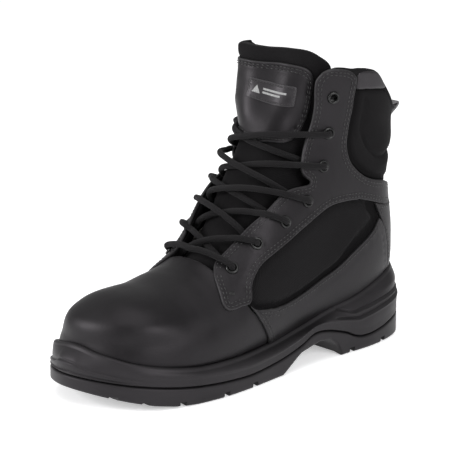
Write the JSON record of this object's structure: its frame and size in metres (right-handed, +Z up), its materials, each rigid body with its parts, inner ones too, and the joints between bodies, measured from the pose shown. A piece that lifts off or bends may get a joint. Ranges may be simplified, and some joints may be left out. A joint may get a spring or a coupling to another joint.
{
  "type": "steel toe work boot",
  "caption": "Left lace-up safety boot with a steel toe, padded ankle collar, mesh side panel, tongue and a lugged moulded sole with a heel.",
  "frame": {"origin": "on the ground under the middle of the sole's bounding box", "axes": "+Z up, +Y from toe to heel, +X towards the outer (lateral) side of this left boot"},
  "size_m": [0.1123, 0.3038, 0.2207],
  "materials": {
    "leather": "smooth satin",
    "mesh_cloth": "matt woven mesh",
    "textile": "matt woven nylon",
    "lining": "soft matt",
    "foam": "open cell foam",
    "insole": "matt brushed",
    "board": "pressed fibre",
    "steel": "plain",
    "eyelet_metal": "black, glossy",
    "lace": "round braid",
    "sole": "satin moulded"
  },
  "bodies": {
    "boot": {"ankle_foam_lateral": "foam", "ankle_foam_medial": "foam", "backstay": "leather", "collar_band_lateral": "leather", "collar_band_medial": "leather", "collar_pad_lateral": "textile", "collar_pad_medial": "textile", "eyelet_lateral_1": "eyelet_metal", "eyelet_lateral_2": "eyelet_metal", "eyelet_lateral_3": "eyelet_metal", "eyelet_lateral_4": "eyelet_metal", "eyelet_lateral_5": "eyelet_metal", "eyelet_lateral_6": "eyelet_metal", "eyelet_lateral_7": "eyelet_metal", "eyelet_medial_1": "eyelet_metal", "eyelet_medial_2": "eyelet_metal", "eyelet_medial_3": "eyelet_metal", "eyelet_medial_4": "eyelet_metal", "eyelet_medial_5": "eyelet_metal", "eyelet_medial_6": "eyelet_metal", "eyelet_medial_7": "eyelet_metal", "facing_lateral": "leather", "facing_medial": "leather", "footbed": "insole", "heel_counter": "board", "insole_board": "board", "lace": "lace", "midsole": "sole", "outsole": "sole", "quarter_lateral": "leather", "quarter_medial": "leather", "shaft_lining_lateral": "lining", "shaft_lining_medial": "lining", "side_mesh_lateral": "mesh_cloth", "side_mesh_medial": "mesh_cloth", "steel_shank": "steel", "steel_toe_cap": "steel", "toe_cap_edge_trim": "foam", "tongue_gusset_lateral": "lining", "tongue_gusset_medial": "lining", "tongue_lower": "textile", "vamp": "leather", "vamp_lining": "lining"},
    "tongue_flap": {"tongue_flap": "textile", "tongue_panel": "leather", "tongue_label": "leather"},
    "pull_tab": {"pull_tab": "textile"}
  },
  "joints": [
    {"name": "tongue_hinge", "type": "hinge", "parent": "boot", "child": "tongue_flap", "pos_m": [-0.0035, 0.04, 0.17], "axis": [-1, 0, 0], "range_deg": [0, 15]},
    {"name": "pull_tab_hinge", "type": "hinge", "parent": "boot", "child": "pull_tab", "pos_m": [-0.0035, 0.14258, 0.15973], "axis": [1, 0, 0], "range_deg": [-110, 25]}
  ]
}
